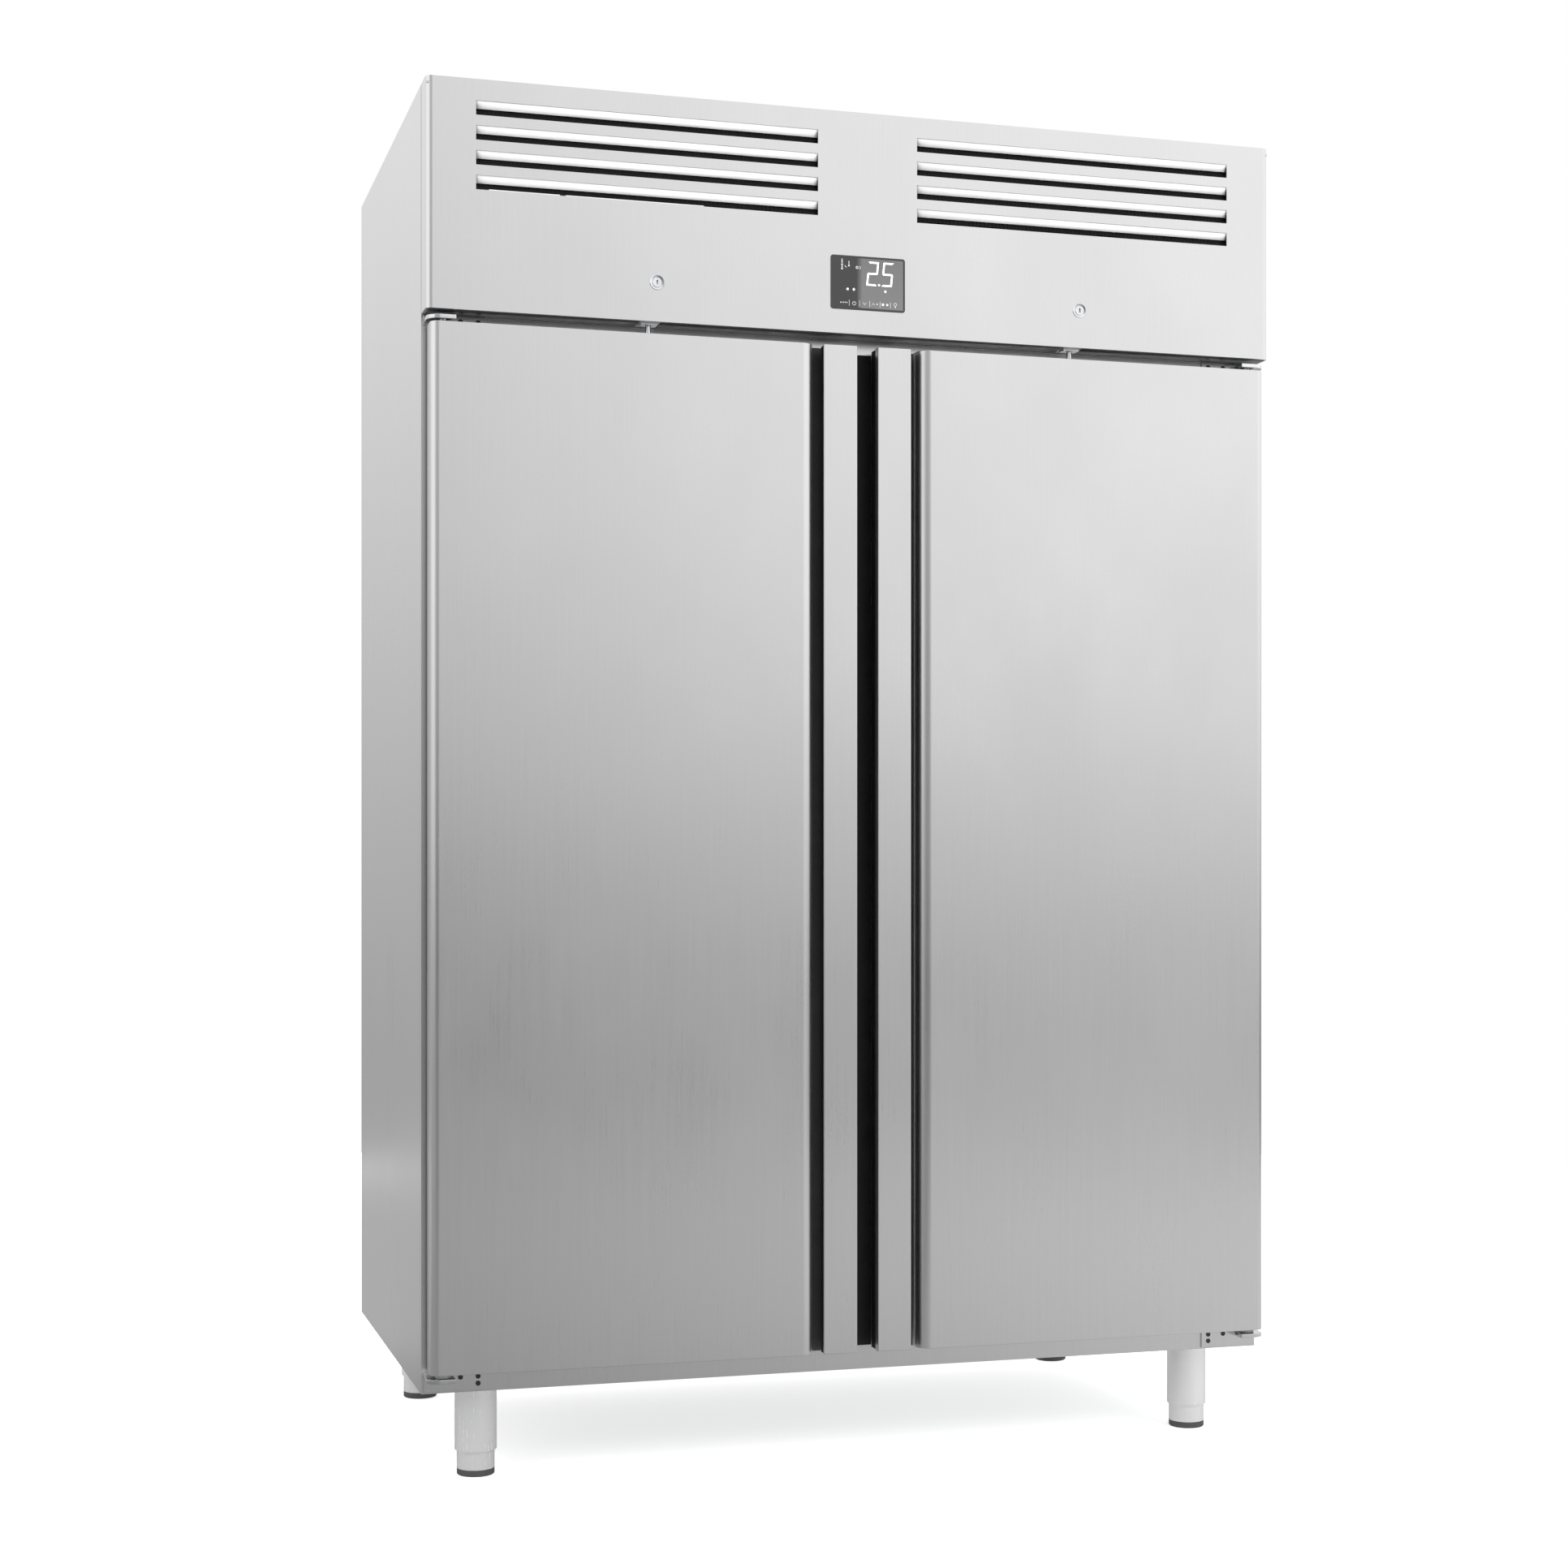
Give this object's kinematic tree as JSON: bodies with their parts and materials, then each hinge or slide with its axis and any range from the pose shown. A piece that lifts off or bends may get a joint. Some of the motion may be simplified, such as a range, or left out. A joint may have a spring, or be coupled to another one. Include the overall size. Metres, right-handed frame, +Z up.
{
  "type": "reach in refrigerator",
  "caption": "Upright commercial refrigerator with hinged stainless doors, full-height grips, a louvred lift-up head panel over the cooling unit, wire shelves and adjustable legs.",
  "frame": {"origin": "middle of the footprint, on the floor", "axes": "+Z up, doors face -Y, +X to the right of someone facing the doors"},
  "size_m": [1.29, 0.736, 1.97],
  "materials": {
    "brushed_stainless": "satin",
    "inner_steel": "satin",
    "galvanised_steel": "satin",
    "leg_steel": "satin",
    "bright_chrome": "polished",
    "shelf_wire": "satin",
    "coil_aluminium": "satin",
    "copper": "satin",
    "black_enamel": "gloss",
    "fan_plastic": "matte",
    "grey_plastic": "matte",
    "gasket_rubber": "matte",
    "foot_plastic": "matte",
    "foam": "matte",
    "bezel_plastic": "gloss",
    "display_glass": "gloss"
  },
  "bodies": {
    "cabinet": {"back_panel": "galvanised_steel", "bottom_hinge_brackets": "bright_chrome", "bottom_panel": "galvanised_steel", "centre_mullion": "inner_steel", "compressor": "black_enamel", "condenser_coil": "coil_aluminium", "electrical_box": "grey_plastic", "evaporator_coil": "coil_aluminium", "evaporator_cover": "inner_steel", "fan_motors": "fan_plastic", "fan_shroud": "galvanised_steel", "foam_insulation": "foam", "front_frame": "brushed_stainless", "hinge_pins": "bright_chrome", "hinge_screws": "bright_chrome", "inner_liner": "inner_steel", "left_side_panel": "brushed_stainless", "left_wire_shelves": "shelf_wire", "leg_tubes": "leg_steel", "machine_deck": "inner_steel", "panel_hinges": "galvanised_steel", "power_inlet": "grey_plastic", "refrigerant_pipes": "copper", "right_side_panel": "brushed_stainless", "right_wire_shelves": "shelf_wire", "shelf_runners": "inner_steel", "shelf_uprights": "inner_steel", "top_cover": "brushed_stainless", "top_hinge_brackets": "bright_chrome"},
    "left_door": {"left_door_bushes": "grey_plastic", "left_door_foam": "foam", "left_door_gasket": "gasket_rubber", "left_door_handle": "brushed_stainless", "left_door_liner": "inner_steel", "left_door_skin": "brushed_stainless"},
    "right_door": {"right_door_bushes": "grey_plastic", "right_door_foam": "foam", "right_door_gasket": "gasket_rubber", "right_door_handle": "brushed_stainless", "right_door_liner": "inner_steel", "right_door_skin": "brushed_stainless"},
    "head": {"head_panel": "brushed_stainless", "lock_housings": "bright_chrome", "controller_bezel": "bezel_plastic", "controller_glass": "display_glass"},
    "left_lock": {"left_lock_cylinder": "bright_chrome"},
    "left_bolt": {"left_lock_bolt": "bright_chrome"},
    "right_lock": {"right_lock_cylinder": "bright_chrome"},
    "right_bolt": {"right_lock_bolt": "bright_chrome"},
    "condenser_fan_rotor": {"condenser_fan": "fan_plastic"},
    "left_evaporator_rotor": {"left_evaporator_fan": "fan_plastic"},
    "right_evaporator_rotor": {"right_evaporator_fan": "fan_plastic"},
    "front_left_foot": {"front_left_foot_sleeve": "leg_steel", "front_left_foot_cap": "foot_plastic"},
    "front_right_foot": {"front_right_foot_sleeve": "leg_steel", "front_right_foot_cap": "foot_plastic"},
    "rear_left_foot": {"rear_left_foot_sleeve": "leg_steel", "rear_left_foot_cap": "foot_plastic"},
    "rear_right_foot": {"rear_right_foot_sleeve": "leg_steel", "rear_right_foot_cap": "foot_plastic"}
  },
  "joints": [
    {"name": "left_door_hinge", "type": "hinge", "parent": "cabinet", "child": "left_door", "pos_m": [-0.618, -0.347, 0.87], "axis": [0, 0, -1], "range_deg": [0, 105]},
    {"name": "right_door_hinge", "type": "hinge", "parent": "cabinet", "child": "right_door", "pos_m": [0.618, -0.347, 0.87], "axis": [0, 0, 1], "range_deg": [0, 105]},
    {"name": "head_panel_hinge", "type": "hinge", "parent": "cabinet", "child": "head", "pos_m": [0, -0.327, 1.964], "axis": [-1, 0, 0], "range_deg": [0, 75]},
    {"name": "left_lock_turn", "type": "hinge", "parent": "head", "child": "left_lock", "pos_m": [-0.3155, -0.36, 1.703], "axis": [0, 1, 0], "range_deg": [0, 90]},
    {"name": "left_bolt_slide", "type": "slide", "parent": "head", "child": "left_bolt", "axis": [0, 0, -1], "range_m": [0, 0.012]},
    {"name": "right_lock_turn", "type": "hinge", "parent": "head", "child": "right_lock", "pos_m": [0.3335, -0.36, 1.703], "axis": [0, 1, 0], "range_deg": [0, 90]},
    {"name": "right_bolt_slide", "type": "slide", "parent": "head", "child": "right_bolt", "axis": [0, 0, -1], "range_m": [0, 0.012]},
    {"name": "condenser_fan_spin", "type": "hinge", "parent": "cabinet", "child": "condenser_fan_rotor", "pos_m": [0.27, -0.135, 1.8], "axis": [0, 1, 0], "continuous": true},
    {"name": "left_evaporator_fan_spin", "type": "hinge", "parent": "cabinet", "child": "left_evaporator_rotor", "pos_m": [-0.27, 0.145, 1.496], "axis": [0, 0, 1], "continuous": true},
    {"name": "right_evaporator_fan_spin", "type": "hinge", "parent": "cabinet", "child": "right_evaporator_rotor", "pos_m": [0.27, 0.145, 1.496], "axis": [0, 0, 1], "continuous": true},
    {"name": "front_left_foot_adjust", "type": "slide", "parent": "cabinet", "child": "front_left_foot", "axis": [0, 0, -1], "range_m": [0, 0.035]},
    {"name": "front_right_foot_adjust", "type": "slide", "parent": "cabinet", "child": "front_right_foot", "axis": [0, 0, -1], "range_m": [0, 0.035]},
    {"name": "rear_left_foot_adjust", "type": "slide", "parent": "cabinet", "child": "rear_left_foot", "axis": [0, 0, -1], "range_m": [0, 0.035]},
    {"name": "rear_right_foot_adjust", "type": "slide", "parent": "cabinet", "child": "rear_right_foot", "axis": [0, 0, -1], "range_m": [0, 0.035]}
  ],
  "couplings": [
    {"joint": "left_bolt_slide", "follows": "left_lock_turn", "m_per_rad": 0.0076394},
    {"joint": "right_bolt_slide", "follows": "right_lock_turn", "m_per_rad": 0.0076394}
  ]
}
